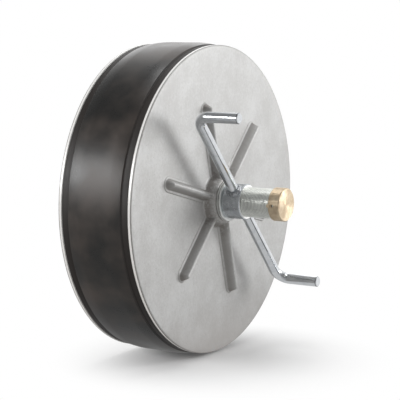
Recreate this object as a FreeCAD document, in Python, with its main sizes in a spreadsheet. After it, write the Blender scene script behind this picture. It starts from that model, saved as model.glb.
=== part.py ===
import FreeCAD, Part
import math
import os
import re
import Sketcher

# Pipe expansion plug: two round plates squeeze a rubber ring when the handle nut
# runs down the threaded tube that is fixed in the back plate.
# Millimetres. X runs along the tube, outward towards the handle; Z is up.
# The origin is the middle of the ring, on the tube's axis.

doc = FreeCAD.newDocument("ExpansionPlug")
sheet = doc.addObject("Spreadsheet::Sheet", "Sizes")
V = FreeCAD.Vector

# Driving sizes
sizes = {
    "plateRadius": 145.0,
    "plateThick": 4.0,
    "plateEdge": 1.0,
    "ringWidth": 70.0,
    "ringRise": 2.0,
    "ringWall": 29.0,
    "ringLand": 30.0,
    "bandWidth": 6.4,
    "bandDrop": 1.0,
    "shoulderDrop": 1.6,
    "shoulderRun": 1.0,
    "collarGap": 0.5,
    "collarWall": 5.0,
    "collarLength": 22.0,
    "bossFoot": 26.0,
    "bossTop": 21.0,
    "bossHeight": 10.0,
    "innerBossRadius": 22.0,
    "innerBossHeight": 10.0,
    "tubeRadius": 14.0,
    "tubeBore": 10.0,
    "tubeReach": 70.0,
    "tubeChamfer": 0.8,
    "runningGap": 0.06,
    "washerRadius": 19.0,
    "washerThick": 2.0,
    "washerGap": 0.3,
    "washerEdge": 0.4,
    "hubRadius": 16.5,
    "hubLength": 19.0,
    "hubChamfer": 0.8,
    "barRadius": 5.0,
    "armReach": 113.0,
    "armRise": 10.0,
    "bendRadius": 13.0,
    "gripLength": 44.0,
    "gripChamfer": 0.6,
    "armAngle": 42.3,
    "ribAngle": 15.0,
    "ribCount": 6.0,
    "ribWidth": 10.6,
    "ribHeight": 8.6,
    "ribCrest": 2.4,
    "ribReach": 89.5,
    "weldSpread": 4.5,
    "weldLip": 0.6,
    "weldHeight": 4.0,
    "backWeld": 4.0,
    "capRadius": 15.5,
    "capDepth": 8.5,
    "capTop": 2.7,
    "capEdge": 0.6,
    "gasketThick": 1.0,
    "gasketGap": 0.4,
    "lugRadius": 1.8,
    "lugPlace": 0.9,
    "lugRise": 1.0,
    "eyeRadius": 1.2,
    "eyePlace": 4.6,
}
for row, name in enumerate(sizes, start=1):
    sheet.set("A%d" % row, name)
    sheet.set("B%d" % row, str(sizes[name]))
    sheet.setAlias("B%d" % row, name)
doc.recompute()


def bound(text):
    # Names of sizes in an expression become references to the sheet
    return re.sub(r"[A-Za-z]+", lambda word: "Sizes." + word.group(0) if word.group(0) in sizes else word.group(0), text)


def size(text):
    return float(sheet.evalExpression(bound(text)))


def plane(body, role):
    return [item for item in body.Origin.OriginFeatures if item.Role == role][0]


def newBody(name, along="0", turn=None):
    body = doc.addObject("PartDesign::Body", name)
    body.Label = name
    body.Placement = FreeCAD.Placement(V(size(along), 0, 0), FreeCAD.Rotation(V(1, 0, 0), size(turn) if turn else 0))
    body.setExpression("Placement.Base.x", bound(along))
    if turn:
        body.setExpression("Placement.Rotation.Angle", bound(turn))
    return body


def newSketch(body, name, role, offset=None):
    sketch = body.newObject("Sketcher::SketchObject", name)
    sketch.AttachmentSupport = [(plane(body, role), "")]
    sketch.MapMode = "FlatFace"
    if offset:
        sketch.AttachmentOffset = FreeCAD.Placement(V(0, 0, size(offset)), FreeCAD.Rotation())
        sketch.setExpression("AttachmentOffset.Base.z", bound(offset))
    return sketch


def hold(sketch, kind, geometry, point, text, label):
    # One named distance from the sketch's origin, or a point on its axis where the distance is nought
    if text == "0":
        axis = -2 if kind == "DistanceX" else -1
        sketch.addConstraint(Sketcher.Constraint("PointOnObject", geometry, point, axis))
        return
    index = sketch.addConstraint(Sketcher.Constraint(kind, -1, 1, geometry, point, size(text)))
    sketch.renameConstraint(index, label)
    sketch.setExpression("Constraints." + label, bound(text))


def outline(sketch, corners):
    # Closed polygon whose corners are pairs of expressions
    points = [V(size(across), size(up), 0) for across, up in corners]
    count = len(points)
    for index in range(count):
        sketch.addGeometry(Part.LineSegment(points[index], points[(index + 1) % count]), False)
    for index in range(count):
        sketch.addConstraint(Sketcher.Constraint("Coincident", index, 2, (index + 1) % count, 1))
    for index, (across, up) in enumerate(corners):
        hold(sketch, "DistanceX", index, 1, across, "across%d" % index)
        hold(sketch, "DistanceY", index, 1, up, "up%d" % index)
    return sketch


def circle(sketch, across, up, radius):
    sketch.addGeometry(Part.Circle(V(size(across), size(up), 0), V(0, 0, 1), size(radius)), False)
    hold(sketch, "DistanceX", 0, 3, across, "across")
    hold(sketch, "DistanceY", 0, 3, up, "up")
    index = sketch.addConstraint(Sketcher.Constraint("Radius", 0, size(radius)))
    sketch.renameConstraint(index, "radius")
    sketch.setExpression("Constraints.radius", bound(radius))
    return sketch


def turned(body, name, corners):
    # Profile in X and radius, revolved about the tube's axis
    sketch = outline(newSketch(body, name + "Profile", "XY_Plane"), corners)
    feature = body.newObject("PartDesign::Revolution", name)
    feature.Profile = (sketch, [""])
    feature.ReferenceAxis = (sketch, ["H_Axis"])
    feature.Angle = 360
    doc.recompute()
    return feature


def bored(body, name, radius, start, end):
    # Round hole about the tube's axis from start to end
    before = body.Shape.Volume
    corners = [(start, "0"), (end, "0"), (end, radius), (start, radius)]
    sketch = outline(newSketch(body, name + "Profile", "XY_Plane"), corners)
    feature = body.newObject("PartDesign::Groove", name)
    feature.Profile = (sketch, [""])
    feature.ReferenceAxis = (sketch, ["H_Axis"])
    feature.Angle = 360
    doc.recompute()
    if body.Shape.Volume >= before:
        raise RuntimeError(name + " cuts nothing")
    return feature


def circularEdges(shape, radius, along):
    # Names of the full-circle edges of one radius at one place along X
    found = []
    for index, edge in enumerate(shape.Edges, start=1):
        if isinstance(edge.Curve, Part.Circle) and abs(edge.Curve.Radius - radius) < 1e-6:
            if abs(edge.Curve.Center.x - along) < 1e-6:
                found.append("Edge%d" % index)
    return found


def rounded(body, name, base, radius, along, amount):
    names = circularEdges(base.Shape, size(radius), size(along))
    feature = body.newObject("PartDesign::Fillet", name)
    feature.Base = (base, names)
    feature.Radius = size(amount)
    feature.setExpression("Radius", bound(amount))
    doc.recompute()
    return feature


# Radii of the ring, which stands a little proud of the plates, and of the collars inside it
ringRadius = "plateRadius + ringRise"
ringInner = ringRadius + " - ringWall"
collarOuter = ringInner + " - collarGap"
collarInner = collarOuter + " - collarWall"

# Back plate: its outer face is at local X = 0 and its collar reaches into the ring
back = newBody("back_plate", "-(ringWidth / 2 + plateThick)")
backCollar = "plateThick + collarLength"
backTurned = turned(back, "backTurned", [
    ("0", "tubeRadius"),
    ("plateThick + innerBossHeight", "tubeRadius"),
    ("plateThick + innerBossHeight", "innerBossRadius"),
    ("plateThick", "innerBossRadius"),
    ("plateThick", collarInner),
    (backCollar, collarInner),
    (backCollar, collarOuter),
    ("plateThick", collarOuter),
    ("plateThick", "plateRadius"),
    ("0", "plateRadius"),
])
backOuterEdge = rounded(back, "backOuterEdge", backTurned, "plateRadius", "0", "plateEdge")
rounded(back, "backInnerEdge", backOuterEdge, "plateRadius", "plateThick", "plateEdge")

# Front plate: its outer face is at local X = 0, with the boss and the ribs in front of it
front = newBody("front_plate", "ringWidth / 2 + plateThick", "ribAngle")
frontCollar = "-(plateThick + collarLength)"
frontTurned = turned(front, "frontTurned", [
    ("-(plateThick + innerBossHeight)", "0"),
    ("bossHeight", "0"),
    ("bossHeight", "bossTop"),
    ("0", "bossFoot"),
    ("0", "plateRadius"),
    ("-plateThick", "plateRadius"),
    ("-plateThick", collarOuter),
    (frontCollar, collarOuter),
    (frontCollar, collarInner),
    ("-plateThick", collarInner),
    ("-plateThick", "innerBossRadius"),
    ("-(plateThick + innerBossHeight)", "innerBossRadius"),
])
frontOuterEdge = rounded(front, "frontOuterEdge", frontTurned, "plateRadius", "0", "plateEdge")
rounded(front, "frontInnerEdge", frontOuterEdge, "plateRadius", "-plateThick", "plateEdge")


def ribSection(sketch, half):
    # Rib across its length: two sloping flanks that run into a round crest.
    # The flank leaves the foot at the angle that touches the crest's circle.
    # The half section is for the rib's round end.
    width = size("ribWidth / 2")
    crest = size("ribCrest")
    centre = size("ribHeight - ribCrest")
    reach = math.hypot(centre, width)
    flank = math.sqrt(reach ** 2 - crest ** 2)
    lean = math.atan2(-width, centre) + math.asin(crest / reach)
    touch = V(flank * math.cos(lean), width + flank * math.sin(lean), 0)
    turn = math.atan2(touch.y, touch.x - centre)
    ring = Part.Circle(V(centre, 0, 0), V(0, 0, 1), crest)
    foot = V(0, 0, 0) if half else V(0, -width, 0)
    last = V(centre + crest, 0, 0) if half else V(touch.x, -touch.y, 0)
    sketch.addGeometry(Part.LineSegment(foot, V(0, width, 0)), False)
    sketch.addGeometry(Part.LineSegment(V(0, width, 0), touch), False)
    sketch.addGeometry(Part.ArcOfCircle(ring, 0 if half else -turn, turn), False)
    sketch.addGeometry(Part.LineSegment(last, foot), False)
    sketch.addConstraint(Sketcher.Constraint("Coincident", 0, 2, 1, 1))
    sketch.addConstraint(Sketcher.Constraint("Tangent", 1, 2, 2, 2))
    sketch.addConstraint(Sketcher.Constraint("Coincident" if half else "Tangent", 2, 1, 3, 1))
    sketch.addConstraint(Sketcher.Constraint("Coincident", 3, 2, 0, 1))
    hold(sketch, "DistanceX", 0, 1, "0", "footAcross")
    hold(sketch, "DistanceY", 0, 1, "0" if half else "-ribWidth / 2", "footUp")
    hold(sketch, "DistanceX", 0, 2, "0", "edgeAcross")
    hold(sketch, "DistanceY", 0, 2, "ribWidth / 2", "edgeUp")
    hold(sketch, "DistanceX", 2, 3, "ribHeight - ribCrest", "centreAcross")
    hold(sketch, "DistanceY", 2, 3, "0", "centreUp")
    if half:
        hold(sketch, "DistanceY", 2, 1, "0", "crestUp")
    index = sketch.addConstraint(Sketcher.Constraint("Radius", 2, crest))
    sketch.renameConstraint(index, "crest")
    sketch.setExpression("Constraints.crest", bound("ribCrest"))
    return sketch


rib = front.newObject("PartDesign::Pad", "rib")
rib.Profile = (ribSection(newSketch(front, "ribProfile", "XY_Plane"), False), [""])
rib.Length = size("ribReach")
rib.setExpression("Length", bound("ribReach"))
doc.recompute()
ribEnd = front.newObject("PartDesign::Revolution", "ribEnd")
ribEndProfile = ribSection(newSketch(front, "ribEndProfile", "XY_Plane", "ribReach"), True)
ribEnd.Profile = (ribEndProfile, [""])
ribEnd.ReferenceAxis = (ribEndProfile, ["H_Axis"])
ribEnd.Angle = 360
doc.recompute()
ribs = front.newObject("PartDesign::PolarPattern", "ribs")
ribs.Originals = [rib, ribEnd]
ribs.Axis = (plane(front, "X_Axis"), [""])
ribs.Angle = 360
ribs.Occurrences = int(size("ribCount"))
ribs.setExpression("Occurrences", bound("ribCount"))
front.Tip = ribs
doc.recompute()
bored(front, "frontBore", "tubeRadius + runningGap", "-(plateThick + innerBossHeight) - 1", "bossHeight + ribHeight")

# Rubber ring between the plates, at rest: a flat land in the middle, shoulders that fall
# away from it, and a lower band along each plate
ring = newBody("sealing_ring")
ringHalf = "ringWidth / 2"
bandInside = "ringWidth / 2 - bandWidth"
shoulderEnd = "ringWidth / 2 - bandWidth - shoulderRun"
shoulderRadius = ringRadius + " - shoulderDrop"
bandRadius = shoulderRadius + " - bandDrop"
turned(ring, "ringTurned", [
    ("-(%s)" % ringHalf, ringInner),
    (ringHalf, ringInner),
    (ringHalf, bandRadius),
    (bandInside, bandRadius),
    (shoulderEnd, shoulderRadius),
    ("ringLand / 2", ringRadius),
    ("-ringLand / 2", ringRadius),
    ("-(%s)" % shoulderEnd, shoulderRadius),
    ("-(%s)" % bandInside, bandRadius),
    ("-(%s)" % ringHalf, bandRadius),
])

# Threaded tube, flush with the back plate's outer face; the thread's major diameter
tube = newBody("threaded_tube", "-(ringWidth / 2 + plateThick)")
tubeLength = "ringWidth + 2 * plateThick + tubeReach"
turned(tube, "tubeTurned", [
    ("0", "tubeBore"),
    (tubeLength, "tubeBore"),
    (tubeLength, "tubeRadius - tubeChamfer"),
    (tubeLength + " - tubeChamfer", "tubeRadius"),
    ("0", "tubeRadius"),
])

# Bead that fixes the tube to the back plate's inner boss
backBead = newBody("back_weld", "innerBossHeight - ringWidth / 2")
turned(backBead, "backBeadTurned", [
    ("0", "tubeRadius"),
    ("backWeld", "tubeRadius"),
    ("0", "tubeRadius + backWeld"),
])

# Two thrust washers between the boss and the nut
bossFace = "ringWidth / 2 + plateThick + bossHeight"
for name, place in (("inner_washer", bossFace), ("outer_washer", bossFace + " + washerThick")):
    washer = newBody(name, place)
    turned(washer, name + "Turned", [
        ("0", "tubeRadius + washerGap"),
        ("washerThick", "tubeRadius + washerGap"),
        ("washerThick", "washerRadius - washerEdge"),
        ("washerThick - washerEdge", "washerRadius"),
        ("washerEdge", "washerRadius"),
        ("0", "washerRadius - washerEdge"),
    ])

# Long round nut
nutFace = bossFace + " + 2 * washerThick"
hub = newBody("nut_hub", nutFace)
turned(hub, "hubTurned", [
    ("0", "tubeRadius + runningGap"),
    ("hubLength", "tubeRadius + runningGap"),
    ("hubLength", "hubRadius - hubChamfer"),
    ("hubLength - hubChamfer", "hubRadius"),
    ("hubChamfer", "hubRadius"),
    ("0", "hubRadius - hubChamfer"),
])

# Bent bars: out from the nut, then a bend and a grip parallel to the tube.
# The inner end is hollowed to the nut's roundness.
armPlace = nutFace + " + armRise"
for name, turn in (("upper_arm", "armAngle"), ("lower_arm", "armAngle + 180")):
    arm = newBody(name, armPlace, turn)
    path = newSketch(arm, name + "Path", "XZ_Plane")
    start = size("hubRadius - barRadius / 2")
    reach = size("armReach")
    bend = size("bendRadius")
    grip = size("gripLength")
    corner = Part.Circle(V(bend, reach - bend, 0), V(0, 0, 1), bend)
    path.addGeometry(Part.LineSegment(V(0, start, 0), V(0, reach - bend, 0)), False)
    path.addGeometry(Part.ArcOfCircle(corner, math.pi / 2, math.pi), False)
    path.addGeometry(Part.LineSegment(V(bend, reach, 0), V(grip, reach, 0)), False)
    path.addConstraint(Sketcher.Constraint("Tangent", 0, 2, 1, 2))
    path.addConstraint(Sketcher.Constraint("Tangent", 1, 1, 2, 1))
    hold(path, "DistanceX", 0, 1, "0", "startAcross")
    hold(path, "DistanceY", 0, 1, "hubRadius - barRadius / 2", "startUp")
    hold(path, "DistanceX", 0, 2, "0", "bendAcross")
    hold(path, "DistanceX", 2, 2, "gripLength", "gripAcross")
    hold(path, "DistanceY", 2, 2, "armReach", "gripUp")
    path.addConstraint(Sketcher.Constraint("Horizontal", 2))
    index = path.addConstraint(Sketcher.Constraint("Radius", 1, bend))
    path.renameConstraint(index, "bend")
    path.setExpression("Constraints.bend", bound("bendRadius"))
    section = newSketch(arm, name + "Section", "XY_Plane", "hubRadius - barRadius / 2")
    section.addGeometry(Part.Circle(V(0, 0, 0), V(0, 0, 1), size("barRadius")), False)
    section.addConstraint(Sketcher.Constraint("Coincident", 0, 3, -1, 1))
    index = section.addConstraint(Sketcher.Constraint("Radius", 0, size("barRadius")))
    section.renameConstraint(index, "radius")
    section.setExpression("Constraints.radius", bound("barRadius"))
    bar = arm.newObject("PartDesign::AdditivePipe", name + "Bar")
    bar.Profile = section
    bar.Spine = (path, ["Edge1", "Edge2", "Edge3"])
    doc.recompute()
    hollow = bored(arm, name + "Hollow", "hubRadius", "-hubLength", "hubLength")
    ends = circularEdges(hollow.Shape, size("barRadius"), size("gripLength"))
    trimmed = arm.newObject("PartDesign::Chamfer", name + "End")
    trimmed.Base = (hollow, ends)
    trimmed.Size = size("gripChamfer")
    trimmed.setExpression("Size", bound("gripChamfer"))
    doc.recompute()

# Beads between the bars and the nut: a cone around the bar, less the nut and the bar
for name, turn in (("upper_weld", "armAngle"), ("lower_weld", "armAngle + 180")):
    cone = doc.addObject("Part::Cone", name + "Cone")
    cone.setExpression("Radius1", bound("barRadius + weldSpread"))
    cone.setExpression("Radius2", bound("barRadius + weldLip"))
    cone.setExpression("Height", bound("barRadius + weldHeight"))
    cone.setExpression("Placement.Base.z", bound("hubRadius - barRadius"))
    nut = doc.addObject("Part::Cylinder", name + "Nut")
    nut.setExpression("Radius", bound("hubRadius"))
    nut.setExpression("Height", bound("2 * hubLength"))
    nut.Placement = FreeCAD.Placement(V(-size("hubLength"), 0, 0), FreeCAD.Rotation(V(0, 1, 0), 90))
    nut.setExpression("Placement.Base.x", bound("-hubLength"))
    core = doc.addObject("Part::Cylinder", name + "Core")
    core.setExpression("Radius", bound("barRadius"))
    core.setExpression("Height", bound("armReach"))
    withoutNut = doc.addObject("Part::Cut", name + "WithoutNut")
    withoutNut.Base = cone
    withoutNut.Tool = nut
    bead = doc.addObject("Part::Cut", name)
    bead.Base = withoutNut
    bead.Tool = core
    bead.Label = name
    bead.Placement = FreeCAD.Placement(V(size(armPlace), 0, 0), FreeCAD.Rotation(V(1, 0, 0), size(turn)))
    bead.setExpression("Placement.Base.x", bound(armPlace))
    bead.setExpression("Placement.Rotation.Angle", bound(turn))
doc.recompute()

# Brass cap: its skirt's inner edge is at local X = 0
tubeEnd = "ringWidth / 2 + plateThick + tubeReach"
cap = newBody("end_cap", tubeEnd + " + gasketThick - capDepth")
turned(cap, "capTurned", [
    ("0", "0"),
    ("capDepth + capTop", "0"),
    ("capDepth + capTop", "capRadius - capEdge"),
    ("capDepth + capTop - capEdge", "capRadius"),
    ("capEdge", "capRadius"),
    ("0", "capRadius - capEdge"),
])
lug = cap.newObject("PartDesign::Pad", "lug")
lug.Profile = (circle(newSketch(cap, "lugProfile", "XZ_Plane"), "lugPlace", "0", "lugRadius"), [""])
lug.Length = size("capRadius + lugRise")
lug.setExpression("Length", bound("capRadius + lugRise"))
doc.recompute()
bored(cap, "capBore", "tubeRadius + runningGap", "lugPlace - 2 * lugRadius", "capDepth")
beforeEye = cap.Shape.Volume
eye = cap.newObject("PartDesign::Pocket", "eye")
eye.Profile = (circle(newSketch(cap, "eyeProfile", "XZ_Plane"), "eyePlace", "0", "eyeRadius"), [""])
eye.Reversed = True
eye.Length = size("2 * capRadius")
eye.setExpression("Length", bound("2 * capRadius"))
doc.recompute()
if cap.Shape.Volume >= beforeEye:
    raise RuntimeError("eye cuts nothing")

# Flat seal between the tube's end and the cap
seal = newBody("cap_gasket", tubeEnd)
turned(seal, "sealTurned", [
    ("0", "0"),
    ("gasketThick", "0"),
    ("gasketThick", "tubeRadius + runningGap - gasketGap"),
    ("0", "tubeRadius + runningGap - gasketGap"),
])

doc.recompute()
for item in doc.Objects:
    if "Invalid" in item.State or "Error" in item.State:
        raise RuntimeError(item.Name + " failed: " + ", ".join(item.State))

names = [
    "back_plate", "front_plate", "sealing_ring", "threaded_tube", "back_weld", "inner_washer", "outer_washer",
    "nut_hub", "upper_arm", "lower_arm", "upper_weld", "lower_weld", "end_cap", "cap_gasket",
]
for name in names:
    shape = doc.getObject(name).Shape
    if shape.isNull() or not shape.isValid() or len(shape.Solids) != 1:
        raise RuntimeError(name + " is not one sound solid")
    box = shape.BoundBox
    print("%s volume %.0f X %.1f to %.1f Z %.1f to %.1f" % (name, shape.Volume, box.XMin, box.XMax, box.ZMin, box.ZMax))
os.makedirs("parts", exist_ok=True)
for name in names:
    doc.getObject(name).Shape.exportStep("parts/" + name + ".step")
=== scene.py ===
import math
import bpy
import numpy as np
from mathutils import Matrix, Vector


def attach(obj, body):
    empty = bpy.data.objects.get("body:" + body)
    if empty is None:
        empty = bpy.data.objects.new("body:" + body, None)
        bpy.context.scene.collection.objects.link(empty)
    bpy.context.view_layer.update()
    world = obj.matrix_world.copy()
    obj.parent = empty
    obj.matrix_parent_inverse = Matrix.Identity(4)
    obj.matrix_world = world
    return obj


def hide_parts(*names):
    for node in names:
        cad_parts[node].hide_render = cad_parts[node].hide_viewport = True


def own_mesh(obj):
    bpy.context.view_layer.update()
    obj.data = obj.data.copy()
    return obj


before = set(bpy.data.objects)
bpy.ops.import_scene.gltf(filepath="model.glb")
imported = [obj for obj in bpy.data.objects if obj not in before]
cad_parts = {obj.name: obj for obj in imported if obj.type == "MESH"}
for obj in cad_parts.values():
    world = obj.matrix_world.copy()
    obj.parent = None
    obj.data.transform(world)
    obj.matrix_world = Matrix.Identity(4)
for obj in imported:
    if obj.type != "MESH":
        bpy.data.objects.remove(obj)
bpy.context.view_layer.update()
print("stage: frame loaded")

mm = 0.001
tau = 2 * math.pi


# A stack of rings: grid[row, column] is a point, columns run round, neighbours are joined by quads.
# A loop of rings closes on itself; otherwise the first and last ring are closed by a flat face.
def ringMesh(name, grid, loop=False, sharp=40):
    grid = np.asarray(grid, float)
    rows, cols = grid.shape[:2]
    points = grid.reshape(-1, 3)
    last = rows if loop else rows - 1
    row, col = np.meshgrid(np.arange(last), np.arange(cols), indexing="ij")
    nextRow, nextCol = (row + 1) % rows, (col + 1) % cols
    here, beyond = row * cols, nextRow * cols
    quads = np.stack([here + col, beyond + col, beyond + nextCol, here + nextCol], -1).reshape(-1, 4)
    a, b, c, d = (points[quads[:, i]] for i in range(4))
    volume = (np.cross(a, b) * c).sum() + (np.cross(a, c) * d).sum()
    flip = volume < 0
    if flip:
        quads = quads[:, ::-1]
    faces = [tuple(face) for face in quads.tolist()]
    if not loop:
        first = list(range(cols))
        final = list(range((rows - 1) * cols, rows * cols))
        faces.append(tuple(first[::-1] if flip else first))
        faces.append(tuple(final if flip else final[::-1]))
    mesh = bpy.data.meshes.new(name)
    mesh.from_pydata(points.tolist(), [], faces)
    mesh.polygons.foreach_set("use_smooth", np.ones(len(mesh.polygons), bool))
    mesh.set_sharp_from_angle(angle=math.radians(sharp))
    mesh.update()
    piece = bpy.data.objects.new(name, mesh)
    bpy.context.scene.collection.objects.link(piece)
    return piece


# Even angles once round
def evenly(count):
    return np.arange(count) / count * tau


# Surface of revolution about X: every (x, radius) of the profile goes round at all the angles
def revolved(profile, angle):
    profile = np.asarray(profile, float)
    x = np.repeat(profile[:, :1], len(angle), 1)
    return np.stack([x, profile[:, 1:] * np.cos(angle), profile[:, 1:] * np.sin(angle)], -1)


# Arc of a circle in (x, radius) from one angle to another, in degrees
def arc(centreX, centreR, radius, start, end, steps):
    turn = np.radians(np.linspace(start, end, steps))
    return np.stack([centreX + radius * np.cos(turn), centreR + radius * np.sin(turn)], -1)


# Points of the arm's own frame, where z runs out along the bar, turned about X into place
def turnedAbout(points, degrees):
    c, s = math.cos(math.radians(degrees)), math.sin(math.radians(degrees))
    x, y, z = np.moveaxis(np.asarray(points, float), -1, 0)
    return np.stack([x, y * c - z * s, y * s + z * c], -1)


# Smooth maximum: half the sum plus half the root of the squared difference and a softness. The smooth minimum
# takes that root away.
def softMax(a, b, soft):
    return (a + b + np.sqrt((a - b) ** 2 + soft ** 2)) / 2


def softMin(a, b, soft):
    return (a + b - np.sqrt((a - b) ** 2 + soft ** 2)) / 2


# A socket that takes part in sums; each operator adds a Math node
class Wire:
    def __init__(self, graph, socket):
        self.graph = graph
        self.socket = socket

    def __add__(self, other):
        return self.graph.sum("ADD", self, other)

    def __radd__(self, other):
        return self.graph.sum("ADD", other, self)

    def __sub__(self, other):
        return self.graph.sum("SUBTRACT", self, other)

    def __rsub__(self, other):
        return self.graph.sum("SUBTRACT", other, self)

    def __mul__(self, other):
        return self.graph.sum("MULTIPLY", self, other)

    def __rmul__(self, other):
        return self.graph.sum("MULTIPLY", other, self)

    def __pow__(self, other):
        return self.graph.sum("POWER", self, other)

    def __abs__(self):
        return self.graph.sum("ABSOLUTE", self, 0.0)


# Any node tree: materials and the world share these methods
class Graph:
    def __init__(self, tree):
        self.tree = tree
        self.tree.nodes.clear()

    # Any node: its type, its settings, then the values or links of its sockets
    def add(self, kind, settings=None, inputs=None, out=0):
        node = self.tree.nodes.new(kind)
        for key, value in (settings or {}).items():
            setattr(node, key, value)
        for key, value in (inputs or {}).items():
            socket = node.inputs[key]
            if isinstance(value, Wire):
                self.tree.links.new(value.socket, socket)
            else:
                socket.default_value = value
        return None if out is None else Wire(self, node.outputs[out])

    def sum(self, operation, a, b):
        return self.add("ShaderNodeMath", {"operation": operation}, {0: a, 1: b})

    def mix(self, share, a, b):
        return self.add("ShaderNodeMixShader", None, {0: share, 1: a, 2: b})

    def noise(self, size, detail, rough, place=None):
        values = {"Vector": place or self.place, "Scale": 1 / size, "Detail": detail, "Roughness": rough}
        return self.add("ShaderNodeTexNoise", None, values)

    # Smooth step of the value between low and high, from first to second
    def fit(self, value, low, high, first=0.0, second=1.0):
        values = {"Value": value, "From Min": low, "From Max": high, "To Min": first, "To Max": second}
        return self.add("ShaderNodeMapRange", {"interpolation_type": "SMOOTHSTEP"}, values)

    def blend(self, share, a, b):
        return self.add("ShaderNodeMix", {"data_type": "RGBA"}, {0: share, 6: a, 7: b}, out=2)

    def axes(self, place=None):
        vector = place or self.place
        node = self.tree.nodes.new("ShaderNodeSeparateXYZ")
        self.tree.links.new(vector.socket, node.inputs[0])
        return [Wire(self, node.outputs[i]) for i in range(3)]

    def bump(self, height, distance, strength):
        values = {"Height": height, "Distance": distance, "Strength": strength}
        return self.add("ShaderNodeBump", None, values)

    def end(self, shader, kind="ShaderNodeOutputMaterial"):
        self.add(kind, None, {0: shader}, out=None)


# A material whose patterns lie on the object's own coordinates
class Finish(Graph):
    def __init__(self, name):
        self.material = bpy.data.materials.new(name)
        self.material.use_nodes = True
        super().__init__(self.material.node_tree)
        self.place = self.add("ShaderNodeTexCoord", out="Object")

    def close(self, **inputs):
        named = {key.replace("_", " "): value for key, value in inputs.items()}
        self.end(self.add("ShaderNodeBsdfPrincipled", None, named))
        return self.material


plate = {
    "radius": 145 * mm,
    "inner": 35 * mm,
    "outer": 39 * mm,
    "rim": 1.0 * mm,
    "rimSteps": 7,
    "bore": 14.06 * mm,
    "seat": 19.5 * mm,  # the boss is flat inside this radius
    "seatRing": 19.4 * mm,
    "bossTop": 21 * mm,
    "bossFoot": 26 * mm,
    "bossHeight": 10 * mm,
    "bossSoften": 0.8 * mm,
    "ribCount": 6,
    "ribTurn": 15,  # degrees from upright to the first rib
    "ribHalf": 5.3 * mm,
    "ribHeight": 8.6 * mm,
    "ribCrest": 2.4 * mm,
    "ribReach": 89.5 * mm,
    "ribSoften": 1.6 * mm,
    "padHalf": 7.2 * mm,
    "padReach": 88.2 * mm,
    "padHeight": 0.8 * mm,
    "padSlope": 0.4 * mm,
    "padSoften": 0.5 * mm,
    "collarOuter": 117.5 * mm,
    "collarInner": 112.5 * mm,
    "collarFrom": 13 * mm,
    "hubOuter": 22 * mm,
    "hubFrom": 25 * mm,
    "deep": -60 * mm,  # the ribs' formula stops here, away from any rib
    "least": 0.01 * mm,  # lower heights count as the bare face
    "ringSpans": ((20, 28, 0.5), (28, 87, 1), (87, 99, 0.5)),  # from, to and step of the radii
    "outerRings": (99, 101, 104, 110, 118, 126, 134, 140),
    "ribSector": 10,  # degrees each side of a rib with close columns
    "ribColumns": 84,
    "plainColumns": 36,
}


# Place of a point along the tube's axis, and its distance from that axis
def axial(g):
    x, y, z = g.axes()
    return x, (y * y + z * z) ** 0.5


# Cast plate: pale matte metal with a fine sandy grain, faint clouds and a few pits. Its turned edge is paler,
# painted near white as a highlight, with painted dark reflections in its rounded corners and a painted shade
# line just inside;
# painted shade darkens the rib flanks, the pads' edges and the lower part of the plate, and the boss, the
# ribs' roots and most rib tips are darker and mottled.
castLook = {
    "pale": (0.575, 0.577, 0.573, 1),
    "dull": (0.475, 0.472, 0.465, 1),
    # painted shade: the plate's colour turns darker towards the bottom
    "lowShadeTone": (0.43, 0.41, 0.395, 1),
    # painted dark reflections in the rounded corners of the turned edge
    "corner": (0.26, 0.25, 0.24, 1),
    # pits, and also the painted shade line just inside the turned edge
    "pitAndShade": (0.30, 0.30, 0.29, 1),
    # turned edge, paler than the cast face and painted near white as a highlight
    "edge": (0.93, 0.92, 0.90, 1),
    # painted shade on the rib flanks and pad edges; darker mottled tone on the boss, rib roots and tips
    "darkAndShade": (0.30, 0.285, 0.27, 1),
    "grain": 0.9 * mm,
    "fleck": 2.6 * mm,
    "cloud": 26 * mm,
    "pit": 1.7 * mm,
    "pitRange": (0.70, 0.76),
    "pitShare": 0.35,
    "toneRange": (0.36, 0.66),
    "cloudShare": 0.55,
    "rough": 0.52,
    "metal": 0.5,
    "edgeFrom": 144.8 * mm,
    "edgeBlur": 0.12 * mm,
    "lipShadeAt": 144.3 * mm,
    "lipShadeRange": (0.7 * mm, 0.3 * mm),
    "lipShadeShare": 0.5,
    "flankShadeStart": (0.9 * mm, 1.5 * mm),
    "flankShadeEnd": (8.2 * mm, 2.8 * mm),
    "flankShadeShare": 0.6,
    "padShadeStart": (0.04 * mm, 0.2 * mm),
    "padShadeEnd": (0.75 * mm, 0.55 * mm),
    "padShadeShare": 0.45,
    "bossReach": (46 * mm, 24 * mm),
    "bossRise": (0.4 * mm, 1.5 * mm),
    "bossFleck": (0.36, 0.56),
    "bossShare": 0.6,
    "tipStart": (88 * mm, 94 * mm),
    "tipEnd": (99 * mm, 97 * mm),
    "tipRise": (0.3 * mm, 1.2 * mm),
    "tipAside": (50 * mm, 64 * mm),
    "tipShare": 0.5,
    "lowShadeCloud": 30 * mm,
    "lowShadeRange": (-75 * mm, -140 * mm),
    "lowShadeShare": 0.8,
    "cornerInner": (36.1 * mm, 35.6 * mm),
    "cornerOuter": (37.6 * mm, 38.1 * mm),
    "grainHeight": 0.7,
    "fleckHeight": 0.9,
    "pitHeight": 1.2,
    "fleckRough": 0.25,
    "edgeRough": -0.2,
    "edgeMetal": -0.4,
    "bumpDepth": 0.12 * mm,
    "bumpStrength": 0.8,
}


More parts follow.
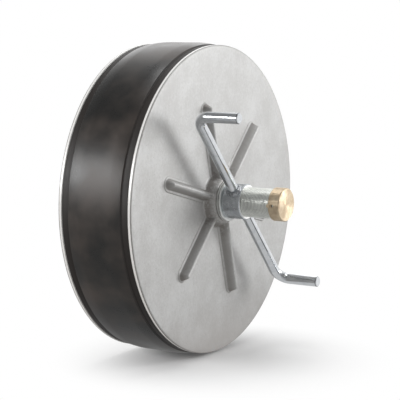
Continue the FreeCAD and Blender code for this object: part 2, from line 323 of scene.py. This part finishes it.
def castFinish():
    g, look = Finish("castPlate"), castLook
    x, y, z = g.axes()
    radius = (y * y + z * z) ** 0.5
    rise = x - plate["outer"]
    cloud = g.noise(look["cloud"], 4, 0.6)
    fleck = g.noise(look["fleck"], 3, 0.6)
    grain = g.noise(look["grain"], 2, 0.6)
    pit = g.fit(g.noise(look["pit"], 1, 0.4), *look["pitRange"])
    tone = g.fit(cloud * look["cloudShare"] + fleck * (1 - look["cloudShare"]), *look["toneRange"])
    colour = g.blend(tone, look["dull"], look["pale"])
    colour = g.blend(pit * look["pitShare"], colour, look["pitAndShade"])
    # painted shade down the rib flanks and the boss's cone, deepest near their feet, and along the pads' low
    # edges
    flankShade = g.fit(rise, *look["flankShadeStart"]) * g.fit(rise, *look["flankShadeEnd"])
    padEdgeShade = g.fit(rise, *look["padShadeStart"]) * g.fit(rise, *look["padShadeEnd"])
    boss = g.fit(radius, *look["bossReach"]) * g.fit(rise, *look["bossRise"])
    boss = boss * g.fit(fleck, *look["bossFleck"])
    asideFrom, asideTo = look["tipAside"]
    tip = g.fit(radius, *look["tipStart"]) * g.fit(rise, *look["tipRise"])
    tip = tip * g.fit(z * z, asideFrom ** 2, asideTo ** 2) * g.fit(radius, *look["tipEnd"])
    # painted shade (flanks, pad edges) and a darker mottled tone (boss, rib roots, tips) share one colour
    darkAndShade = flankShade * look["flankShadeShare"] + padEdgeShade * look["padShadeShare"]
    darkAndShade = darkAndShade + boss * look["bossShare"] + tip * look["tipShare"]
    colour = g.blend(darkAndShade, colour, look["darkAndShade"])
    # painted shade line just inside the turned edge, as if cast by a lip's step
    lipShade = g.fit(abs(radius - look["lipShadeAt"]), *look["lipShadeRange"])
    colour = g.blend(lipShade * look["lipShadeShare"], colour, look["pitAndShade"])
    # painted shade: darker towards the bottom of the plate, with a cloudy border
    lowShade = g.fit(z + cloud * look["lowShadeCloud"], *look["lowShadeRange"])
    colour = g.blend(lowShade * look["lowShadeShare"], colour, look["lowShadeTone"])
    # turned edge painted near white as a highlight; painted dark reflections in its rounded corners
    edge = g.fit(radius, look["edgeFrom"], look["edgeFrom"] + look["edgeBlur"])
    depth = abs(x)
    corner = g.fit(depth, *look["cornerInner"]) + g.fit(depth, *look["cornerOuter"])
    colour = g.blend(edge, colour, g.blend(corner, look["edge"], look["corner"]))
    height = grain * look["grainHeight"] + fleck * look["fleckHeight"] - pit * look["pitHeight"]
    return g.close(
        Base_Color=colour,
        Metallic=look["metal"] + edge * look["edgeMetal"],
        Roughness=look["rough"] + (fleck - 0.5) * look["fleckRough"] + edge * look["edgeRough"],
        Normal=g.bump(height * (1 - edge), look["bumpDepth"], look["bumpStrength"]),
    )


# Moulded rubber: near black, satin, with dusty clouds; the low bands beside the plates are duller and browner
rubberLook = {
    "dark": (0.0094, 0.0092, 0.0088, 1),
    "dusty": (0.054, 0.0425, 0.036, 1),
    "band": (0.008, 0.004, 0.002, 1),
    "bandFrom": 28.2 * mm,
    "bandBlur": 0.6 * mm,
    "cloud": 42 * mm,
    "fine": 1.4 * mm,
    "dustRange": (0.33, 0.74),
    "rough": 0.28,
    "dustRough": 0.12,
    "fineRough": 0.10,
    "bandRough": 0.22,
    "bumpDepth": 0.04 * mm,
    "bumpStrength": 0.5,
}


def rubberFinish():
    g, look = Finish("mouldedRubber"), rubberLook
    cloud = g.noise(look["cloud"], 3, 0.5)
    fine = g.noise(look["fine"], 3, 0.6)
    dust = g.fit(cloud, *look["dustRange"])
    band = g.fit(abs(g.axes()[0]), look["bandFrom"], look["bandFrom"] + look["bandBlur"])
    colour = g.blend(dust, look["dark"], look["dusty"])
    rough = look["rough"] + dust * look["dustRough"] + (fine - 0.5) * look["fineRough"]
    return g.close(
        Base_Color=g.blend(band, colour, look["band"]),
        Roughness=rough + band * look["bandRough"],
        Normal=g.bump(fine, look["bumpDepth"], look["bumpStrength"]),
    )


# Bright zinc plate on steel: soft smudges and a little tarnish. Below a given radius the thread's valleys get
# painted shade, at a given place a thin dark line runs round the axis (the joint between the washers; on the
# bar, where its end chamfer starts), and past a given place the end face is painted bright as a highlight.
zincLook = {
    "smudge": 7 * mm,
    "smudgeRange": (0.38, 0.70),
    "fine": 0.8 * mm,
    # thin dark line round the axis: the washers' joint, and on the bar where the end chamfer starts
    "joint": (0.10, 0.10, 0.10, 1),
    "darkLineRange": (0.45 * mm, 0.2 * mm),
    "darkLineShare": 0.8,
    # painted highlight on the hub's end face
    "endHighlight": (0.93, 0.93, 0.92, 1),
    "endHighlightBlur": 0.1 * mm,
    # painted shade in the thread's valleys
    "valleyShade": (0.06, 0.06, 0.055, 1),
    "valleyDepth": 0.35 * mm,
    "valleyFrom": (12 * mm, 12.5 * mm),
    "valleyShare": 0.6,
    "smudgeRough": 0.12,
    "fineRough": 0.05,
    "bumpDepth": 0.01 * mm,
    "bumpStrength": 0.4,
}

zincPieces = {
    "zincBar": {
        "bright": (0.71, 0.73, 0.75, 1),
        "tarnish": (0.63, 0.65, 0.68, 1),
        "rough": 0.11,
        "darkLineAt": 106.2 * mm,
    },
    "zincHub": {
        "bright": (0.60, 0.63, 0.66, 1),
        "tarnish": (0.53, 0.56, 0.59, 1),
        "rough": 0.28,
        "face": 71.85 * mm,
    },
    "zincThread": {
        "bright": (0.92, 0.94, 0.90, 1),
        "tarnish": (0.80, 0.82, 0.79, 1),
        "rough": 0.36,
        "groove": 13.85 * mm,
    },
    "zincWasher": {
        "bright": (0.93, 0.94, 0.92, 1),
        "tarnish": (0.80, 0.81, 0.79, 1),
        "rough": 0.40,
        "darkLineAt": 51 * mm,
    },
}


def zincFinish(name, bright, tarnish, rough, groove=None, darkLineAt=None, face=None):
    g, look = Finish(name), zincLook
    smudge = g.noise(look["smudge"], 4, 0.6)
    fine = g.noise(look["fine"], 2, 0.6)
    colour = g.blend(g.fit(smudge, *look["smudgeRange"]), bright, tarnish)
    x, radius = axial(g)
    if darkLineAt:
        # dark line round the axis at the given place
        joint = g.fit(abs(x - darkLineAt), *look["darkLineRange"])
        colour = g.blend(joint * look["darkLineShare"], colour, look["joint"])
    if face:
        # painted highlight: the end face past the given place is bright
        colour = g.blend(g.fit(x, face, face + look["endHighlightBlur"]), colour, look["endHighlight"])
    if groove:
        # painted shade in the thread's valleys below the crest
        valleyShade = g.fit(radius, groove, groove - look["valleyDepth"]) * g.fit(radius, *look["valleyFrom"])
        colour = g.blend(valleyShade * look["valleyShare"], colour, look["valleyShade"])
    return g.close(
        Base_Color=colour,
        Metallic=1.0,
        Roughness=rough + (smudge - 0.5) * look["smudgeRough"] + (fine - 0.5) * look["fineRough"],
        Normal=g.bump(fine, look["bumpDepth"], look["bumpStrength"]),
    )


# Weld bead under the plating: darker, grainy, with tiny pores
weldLook = {
    "dark": (0.30, 0.31, 0.33, 1),
    "bright": (0.62, 0.64, 0.66, 1),
    "lump": 1.6 * mm,
    "lumpRange": (0.35, 0.68),
    "rough": 0.38,
    "lumpRough": 0.3,
    "bumpDepth": 0.25 * mm,
    "bumpStrength": 0.9,
}


def weldFinish():
    g, look = Finish("weldBead"), weldLook
    lump = g.noise(look["lump"], 4, 0.6)
    return g.close(
        Base_Color=g.blend(g.fit(lump, *look["lumpRange"]), look["dark"], look["bright"]),
        Metallic=1.0,
        Roughness=look["rough"] + (lump - 0.5) * look["lumpRough"],
        Normal=g.bump(lump, look["bumpDepth"], look["bumpStrength"]),
    )


# Turned brass: grooves run round the axis on the skirt and in rings on the flat end
brassLook = {
    "bright": (0.72, 0.60, 0.435, 1),
    "worn": (0.54, 0.42, 0.285, 1),
    "smudge": 5 * mm,
    "smudgeRange": (0.35, 0.7),
    "uneven": 0.9 * mm,
    "pitch": 0.5 * mm,
    "rough": 0.40,
    "smudgeRough": 0.1,
    "grooveHeight": 0.5,
    "bumpDepth": 0.055 * mm,
    "bumpStrength": 1.0,
}


def brassFinish():
    g, look = Finish("turnedBrass"), brassLook
    x, radius = axial(g)
    smudge = g.noise(look["smudge"], 3, 0.55)
    groove = g.sum("SINE", (x + radius) * (tau / look["pitch"]), 0.0)
    turned = g.add("ShaderNodeCombineXYZ", None, {0: x, 1: radius})
    uneven = g.noise(look["uneven"], 2, 0.5, turned)
    return g.close(
        Base_Color=g.blend(g.fit(smudge, *look["smudgeRange"]), look["bright"], look["worn"]),
        Metallic=1.0,
        Roughness=look["rough"] + (smudge - 0.5) * look["smudgeRough"],
        Normal=g.bump(groove * look["grooveHeight"] + uneven, look["bumpDepth"], look["bumpStrength"]),
    )


cast = castFinish()
rubber = rubberFinish()
zinc = {name: zincFinish(name, **values) for name, values in zincPieces.items()}
weld = weldFinish()
brass = brassFinish()
print("stage: materials made")


# Gives a new piece its material and its body, and hides the nodes that it stands for
def dress(piece, material, body, slot, *nodes):
    piece.data.materials.append(material)
    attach(piece, body)
    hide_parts(*nodes)
    return piece


def repaint(node, material):
    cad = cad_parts[node]
    for index in range(len(cad.material_slots)):
        cad.material_slots[index].material = material


# Smooth step from nought at the first value to one at the second
def smoothStep(first, second, value):
    share = np.clip((value - first) / (second - first), 0, 1)
    return share * share * (3 - 2 * share)


# Height of ribs and boss over the plate's face. A rib's height depends only on the distance from its
# middle line, which ends at ribReach: a round crest, a steep straight flank and a low pad at its foot.
# The boss is a cone with a flat top. Where two forms meet, the smooth maximum rounds the corner.
def faceHeight(across, up):
    radius = np.hypot(across, up)
    half, crest, deep, slope = plate["ribHalf"], plate["ribCrest"], plate["deep"], plate["padSlope"]
    centre = plate["ribHeight"] - crest
    reach = math.hypot(centre, half)
    lean = math.atan2(-half, centre) + math.asin(crest / reach)
    flank = math.sqrt(reach ** 2 - crest ** 2)
    touchX, touchY = flank * math.cos(lean), half + flank * math.sin(lean)
    ribs = np.full(radius.shape, deep)
    pads = np.zeros(radius.shape)
    for index in range(plate["ribCount"]):
        turn = math.radians(plate["ribTurn"] + index * 360 / plate["ribCount"])
        outward = -across * math.sin(turn) + up * math.cos(turn)
        sideways = across * math.cos(turn) + up * math.sin(turn)
        past = np.maximum(outward - plate["ribReach"], 0)
        away = np.where(outward > 0, np.hypot(sideways, past), 1)
        crown = centre + np.sqrt(np.maximum(crest ** 2 - away ** 2, 0))
        side = (half - away) * touchX / (half - touchY)
        ribs = np.maximum(ribs, np.where(away < touchY, crown, np.maximum(side, deep)))
        far = np.maximum(outward - plate["padReach"], 0)
        beside = np.where(outward > 0, np.hypot(sideways, far), 1)
        pad = smoothStep(plate["padHalf"] + slope, plate["padHalf"] - slope, beside)
        pads = np.maximum(pads, plate["padHeight"] * pad)
    cone = (plate["bossFoot"] - radius) * plate["bossHeight"] / (plate["bossFoot"] - plate["bossTop"])
    boss = softMin(cone, plate["bossHeight"], plate["bossSoften"])
    height = softMax(softMax(ribs, boss, plate["ribSoften"]), pads, plate["padSoften"])
    height = np.where(height < plate["least"], 0, height)
    return np.where(radius < plate["seat"], plate["bossHeight"], height)


# Columns stand closer together where a rib runs
def plateAngles():
    step = tau / plate["ribCount"]
    narrow = math.radians(plate["ribSector"])
    onRib = np.linspace(-narrow, narrow, plate["ribColumns"], endpoint=False)
    between = np.linspace(narrow, step - narrow, plate["plainColumns"], endpoint=False)
    sector = np.concatenate([onRib, between])
    start = math.radians(90 + plate["ribTurn"])
    return (start + np.arange(plate["ribCount"])[:, None] * step + sector).ravel()


# The face is the height over a polar grid; rim, back, collar and hub are turned from one profile
def makeFrontPlate():
    spans = [np.arange(*span) * mm for span in plate["ringSpans"]]
    outerRings = np.array(plate["outerRings"]) * mm
    radii = np.concatenate([[plate["bore"], plate["seatRing"]], *spans, outerRings])
    angle = plateAngles()
    across = radii[:, None] * np.cos(angle)
    up = radii[:, None] * np.sin(angle)
    face = np.stack([plate["outer"] + faceHeight(across, up), across, up], -1)
    inner, outer, rim, steps = plate["inner"], plate["outer"], plate["rim"], plate["rimSteps"]
    rest = np.concatenate([
        arc(outer - rim, plate["radius"] - rim, rim, 0, 90, steps),
        arc(inner + rim, plate["radius"] - rim, rim, 90, 180, steps),
        [[inner, plate["collarOuter"]], [plate["collarFrom"], plate["collarOuter"]]],
        [[plate["collarFrom"], plate["collarInner"]], [inner, plate["collarInner"]]],
        [[inner, plate["hubOuter"]], [plate["hubFrom"], plate["hubOuter"]]],
        [[plate["hubFrom"], plate["bore"]]],
    ])
    return ringMesh("frontPlate", np.concatenate([face, revolved(rest, angle)]), loop=True)


dress(makeFrontPlate(), cast, "front", "plate", "front_plate")
print("stage: front plate made")

ring = {
    "inner": 118 * mm,
    "half": 35 * mm,
    "squeezed": 32 * mm,
    "land": 15 * mm,
    "radius": 147 * mm,
    "band": 6.4 * mm,
    "bandRadius": 144.4 * mm,
    "bandBulge": 0.25 * mm,
    "shoulder": 145.4 * mm,
    "fallPower": 1.6,
    "round": 0.9 * mm,
    "landRows": 6,
    "sideRows": 90,
    "columns": 360,
}


# Profile of half the ring, from the middle out: flat land, a shoulder that falls as a power of the
# distance from the land, a rounded step of cosine shape, and the lower band beside the plate
def makeRing():
    land, half, side = ring["land"], ring["half"], ring["half"] - ring["band"]
    flat = np.linspace(0, land, ring["landRows"])
    x = np.concatenate([flat, np.linspace(land, half, ring["sideRows"])[1:]])
    fall = np.clip((x - land) / (side - land), 0, 1)
    body = ring["radius"] - (ring["radius"] - ring["shoulder"]) * fall ** ring["fallPower"]
    step = np.clip((x - (side - ring["round"])) / ring["round"], 0, 1)
    drop = (ring["shoulder"] - ring["bandRadius"]) * (1 - np.cos(math.pi * step)) / 2
    bulge = ring["bandBulge"] * np.sin(math.pi * np.clip((x - side) / ring["band"], 0, 1))
    outer = np.stack([x, body - drop + bulge], -1)
    mirrored = outer[:0:-1] * [-1, 1]
    profile = np.concatenate([mirrored, outer, [[half, ring["inner"]], [-half, ring["inner"]]]])
    return ringMesh("rubberRing", revolved(profile, evenly(ring["columns"])), loop=True, sharp=60)


rubberRing = dress(makeRing(), rubber, "core", "rubber", "sealing_ring")
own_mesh(rubberRing)
print("stage: rubber ring made")

tube = {
    "radius": 14 * mm,
    "bore": 10 * mm,
    "start": -39 * mm,
    "threadFrom": 40 * mm,
    "end": 109 * mm,
    "pitch": 1.5 * mm,
    "depth": 0.7 * mm,
    "valleySlope": 5.5,
    "crestShare": 1.6,
    "fadeTurns": 1.5,
    "lead": 0.8 * mm,
    "rowsPerTurn": 12,
    "columns": 72,
}


# Outer radius drops by a clipped triangle wave of x over the pitch less the angle over a full turn
def makeTube():
    end, pitch, columns = tube["end"], tube["pitch"], tube["columns"]
    x = np.arange(tube["threadFrom"], end, pitch / tube["rowsPerTurn"])
    angle = evenly(columns)
    phase = (x[:, None] / pitch - angle / tau) % 1
    groove = np.clip((0.5 - np.abs(phase - 0.5)) * tube["valleySlope"] - tube["crestShare"], 0, 1)
    fade = np.clip(np.minimum(x - tube["threadFrom"], end - x) / (tube["fadeTurns"] * pitch), 0, 1)[:, None]
    lead = np.clip((end - x) / tube["lead"], 0, 1)[:, None]
    radius = tube["radius"] - tube["depth"] * groove * fade - tube["lead"] * (1 - lead)
    rows = np.repeat(x[:, None], columns, 1)
    threaded = np.stack([rows, radius * np.cos(angle), radius * np.sin(angle)], -1)
    start, bore = tube["start"], tube["bore"]
    plain = revolved([[end, bore], [start, bore], [start, tube["radius"]]], angle)
    tip = revolved([[end, tube["radius"] - tube["lead"]]], angle)
    return ringMesh("threadedTube", np.concatenate([threaded, tip, plain]), loop=True, sharp=60)


dress(makeTube(), zinc["zincThread"], "core", "zinc", "threaded_tube")
print("stage: tube made")

arms = {
    "turn": 42.3,
    "plane": 63 * mm,
    "bar": 5 * mm,
    "reach": 113 * mm,
    "bend": 13 * mm,
    "grip": 44 * mm,
    "chamfer": 0.7 * mm,
    "hub": 16.5 * mm,
    "sunk": 0.6 * mm,
    "straightRows": 12,
    "bendRows": 25,
    "gripRows": 6,
    "columns": 48,
}


# Bar carried along a path of a straight, a quarter bend and a grip; each ring of points lies square to the
# path, by the cosine and sine of the path's lean
def makeArm(name, turn):
    bar, bend, reach, grip = arms["bar"], arms["bend"], arms["reach"], arms["grip"]
    sweep = np.radians(np.linspace(0, 90, arms["bendRows"]))
    straight = np.linspace(arms["hub"] - arms["sunk"], reach - bend, arms["straightRows"])[:-1]
    gripX = np.linspace(bend, grip - arms["chamfer"], arms["gripRows"])[1:]
    pathX = np.concatenate([np.zeros(len(straight)), bend - bend * np.cos(sweep), gripX, [grip]])
    pathZ = np.concatenate([straight, reach - bend + bend * np.sin(sweep), np.full(len(gripX) + 1, reach)])
    lean = np.concatenate([np.zeros(len(straight)), sweep, np.full(len(gripX) + 1, math.pi / 2)])
    size = np.full(len(pathX), bar)
    size[-1] = bar - arms["chamfer"]
    angle = evenly(arms["columns"])
    sideX = np.cos(lean)[:, None] * np.cos(angle) * size[:, None]
    sideZ = -np.sin(lean)[:, None] * np.cos(angle) * size[:, None]
    sideY = np.sin(angle) * size[:, None]
    grid = np.stack([arms["plane"] + pathX[:, None] + sideX, sideY, pathZ[:, None] + sideZ], -1)
    return ringMesh(name, turnedAbout(grid, turn), sharp=35)


bead = {
    "radius": 2.3 * mm,
    "clear": 0.5 * mm,
    "sunk": 0.3 * mm,
    "flat": 0.9,
    "least": 0.86,
    "wave": 0.20,
    "lump": (0.02, 0.06),
    "lumpWaves": range(2, 8),
    "ripples": 13,
    "rows": 156,
    "columns": 18,
    "upperSeed": 4,
    "lowerSeed": 9,
}


# Bead: a round string laid on the curve where bar and nut meet, thick and thin in turn as it was laid
def makeBead(name, turn, seed):
    rng = np.random.default_rng(seed)
    along = evenly(bead["rows"])
    around = evenly(bead["columns"])
    wave = np.abs(np.sin(along * bead["ripples"] / 2))
    lumps = 0
    for k in bead["lumpWaves"]:
        lumps = lumps + rng.uniform(*bead["lump"]) * np.sin(along * k + rng.uniform(0, tau))
    size = bead["radius"] * (bead["least"] + bead["wave"] * wave + lumps)
    centre = arms["bar"] + bead["clear"]
    x, y = centre * np.cos(along), centre * np.sin(along)
    z = np.sqrt(arms["hub"] ** 2 - y ** 2) - bead["sunk"]
    out = size[:, None] * np.cos(around)
    grid = np.stack([
        arms["plane"] + x[:, None] + out * np.cos(along)[:, None],
        y[:, None] + out * np.sin(along)[:, None],
        z[:, None] + size[:, None] * np.sin(around) * bead["flat"],
    ], -1)
    return ringMesh(name, turnedAbout(grid, turn), loop=True, sharp=80)


for side, around in (("upper", 0), ("lower", 180)):
    turn, seed = arms["turn"] + around, bead[side + "Seed"]
    dress(makeArm(side + "Arm", turn), zinc["zincBar"], "handle", "zinc", side + "_arm")
    dress(makeBead(side + "Weld", turn, seed), weld, "handle", "weld", side + "_weld")
print("stage: arms and welds made")

repaint("back_plate", cast)
repaint("back_weld", weld)
repaint("inner_washer", zinc["zincWasher"])
repaint("outer_washer", zinc["zincWasher"])
repaint("nut_hub", zinc["zincHub"])
repaint("end_cap", brass)
repaint("cap_gasket", rubber)
print("stage: kept nodes painted")

studio = {
    "floorLevel": -147.2 * mm,
    "floorReach": 30.0,
    "floorShade": (0.50, 0.48, 0.46, 1),
    "floorPale": (0.88, 0.88, 0.88, 1),
    "floorGlow": 0.06,
    "mirrorLine": (0.62, 0.78),
    "mirrorLeast": 0.12,
    "mirrorUnder": 0.33,
    "mirrorNear": 0.52,
    "mirrorFar": 0.88,
    "nearFrom": (-0.02, 0.05),
    "nearTo": (0.24, 0.16),
    "farFrom": (0.27, 0.36),
    "shadowFrom": (0.053, -0.015),
    "whiteFrom": 0.04,
    "whiteTo": 0.165,
    "roomNear": 0.27,
    "roomFar": 0.80,
    "roomLow": (0.75, 0.45),
    "roomTurn": (-0.5, 0.5),
    "roomShine": (0.0, 0.6),
    "away": (0.10, 0.995, 0.0),
}

# Softboxes: place, watts, width and height in metres
lamps = {
    "keyRight": ((1.06, 0.76, 0.30), 7.2, 0.55, 0.60),
    "overhead": ((-0.05, 0.10, 1.40), 6.9, 0.7, 0.8),
    "leftWindow": ((-0.81, -1.20, 0.42), 13, 1.3, 0.46),
    "topBack": ((-0.85, 1.30, 0.80), 2.5, 1.0, 0.9),
}


# The camera sees the floor turn white further off, with the shadow on it near the object. Bright metal
# mirrors it as pale with darker stretches, and all else is lit by a plain grey floor.
def makeFloor():
    mesh = bpy.data.meshes.new("floor")
    reach, level = studio["floorReach"], studio["floorLevel"]
    corners = [(across * reach, up * reach, level) for across, up in ((-1, -1), (1, -1), (1, 1), (-1, 1))]
    mesh.from_pydata(corners, [], [(0, 1, 2, 3)])
    floor = bpy.data.objects.new("floor", mesh)
    bpy.context.scene.collection.objects.link(floor)
    g = Finish("paleFloor")
    x, y = g.axes()[:2]
    ahead, beside = (axis - start for axis, start in zip((x, y), studio["shadowFrom"]))
    distance = (ahead * ahead + beside * beside) ** 0.5
    far = g.fit(distance, studio["whiteFrom"], studio["whiteTo"])
    camera = g.add("ShaderNodeLightPath", out="Is Camera Ray")
    glossy = g.add("ShaderNodeLightPath", out="Is Glossy Ray")
    plain = g.add("ShaderNodeBsdfDiffuse", None, {"Color": studio["floorShade"]})
    pale = g.add("ShaderNodeBsdfDiffuse", None, {"Color": studio["floorPale"]})
    glow = g.add("ShaderNodeEmission", None, {"Strength": studio["floorGlow"]})
    white = g.add("ShaderNodeEmission", None, {"Strength": 1.0})
    lit = g.add("ShaderNodeAddShader", None, {0: pale, 1: glow})
    seen = g.mix(far, lit, white)
    alongX, alongY = studio["mirrorLine"]
    along = x * alongX + y * alongY
    near = g.fit(along, *studio["nearFrom"], studio["mirrorUnder"], studio["mirrorNear"])
    near = near * g.fit(along, *studio["nearTo"])
    share = near + g.fit(along, *studio["farFrom"], 0.0, studio["mirrorFar"])
    mirrored = g.add("ShaderNodeEmission", None, {"Strength": share + studio["mirrorLeast"]})
    g.end(g.mix(camera, g.mix(glossy, plain, mirrored), seen))
    mesh.materials.append(g.material)


# A bright room low on the far side, a dimmer one on the camera's side; the camera sees plain white
def makeWorld():
    world = bpy.data.worlds.new("studio")
    bpy.context.scene.world = world
    world.use_nodes = True
    g = Graph(world.node_tree)
    direction = g.add("ShaderNodeTexCoord", out="Generated")
    dot = {"operation": "DOT_PRODUCT"}
    towards = g.add("ShaderNodeVectorMath", dot, {0: direction, 1: studio["away"]}, out="Value")
    low = g.fit(g.axes(direction)[2], *studio["roomLow"])
    gain = g.fit(towards, *studio["roomTurn"], 0.0, studio["roomFar"] - studio["roomNear"])
    strength = studio["roomNear"] + low * gain
    room = g.add("ShaderNodeBackground", None, {"Color": (1, 1, 1, 1), "Strength": strength})
    white = g.add("ShaderNodeBackground", None, {"Color": (1, 1, 1, 1), "Strength": 1.0})
    camera = g.add("ShaderNodeLightPath", out="Is Camera Ray")
    glossy = g.add("ShaderNodeLightPath", out="Is Glossy Ray")
    shine = camera + glossy * g.fit(towards, *studio["roomShine"])
    g.end(g.mix(shine, room, white), "ShaderNodeOutputWorld")


def makeLamp(name, place, power, width, height):
    lamp = bpy.data.lights.new(name, "AREA")
    lamp.shape = "RECTANGLE"
    lamp.size, lamp.size_y = width, height
    lamp.energy = power
    holder = bpy.data.objects.new(name, lamp)
    bpy.context.scene.collection.objects.link(holder)
    holder.location = place
    holder.rotation_euler = (-Vector(place)).to_track_quat("-Z", "Y").to_euler()
    holder.visible_camera = False


makeFloor()
makeWorld()
for lampName, values in lamps.items():
    makeLamp(lampName, *values)

# The camera stands ten plate radii from the front plate's face, looks down a little and isn't turned about
# its view
view = {
    "lens": 138.6,
    "sensor": 36,
    "heading": 58.6,
    "rise": -3.72,
    "away": 10 * plate["radius"],
    "right": 0.113 * plate["radius"],
    "up": 0.0023 * plate["radius"],
}


# The tube's axis, the level and the upright as the camera sees them give its turn; its place follows from
# where the middle of the plate's face has to lie
def makeCamera():
    heading, rise = math.radians(view["heading"]), math.radians(view["rise"])
    flat = math.cos(rise)
    tubeAxis = np.array([math.sin(heading) * flat, math.sin(rise), math.cos(heading) * flat])
    tip = math.atan2(-tubeAxis[1], tubeAxis[2])
    upright = np.array([0, math.cos(tip), math.sin(tip)])
    level = np.cross(upright, tubeAxis)
    seen = np.array([view["right"], view["up"], -view["away"]]) - plate["outer"] * tubeAxis
    matrix = np.eye(4)
    matrix[:3, :3] = [tubeAxis, level, upright]
    matrix[:3, 3] = matrix[:3, :3] @ -seen
    camera = bpy.data.objects.new("camera", bpy.data.cameras.new("camera"))
    camera.data.lens = view["lens"]
    camera.data.sensor_width = view["sensor"]
    camera.matrix_world = Matrix(matrix.tolist())
    bpy.context.scene.collection.objects.link(camera)
    bpy.context.scene.camera = camera


makeCamera()
bpy.context.scene.view_settings.view_transform = "Standard"
print("stage: studio ready")
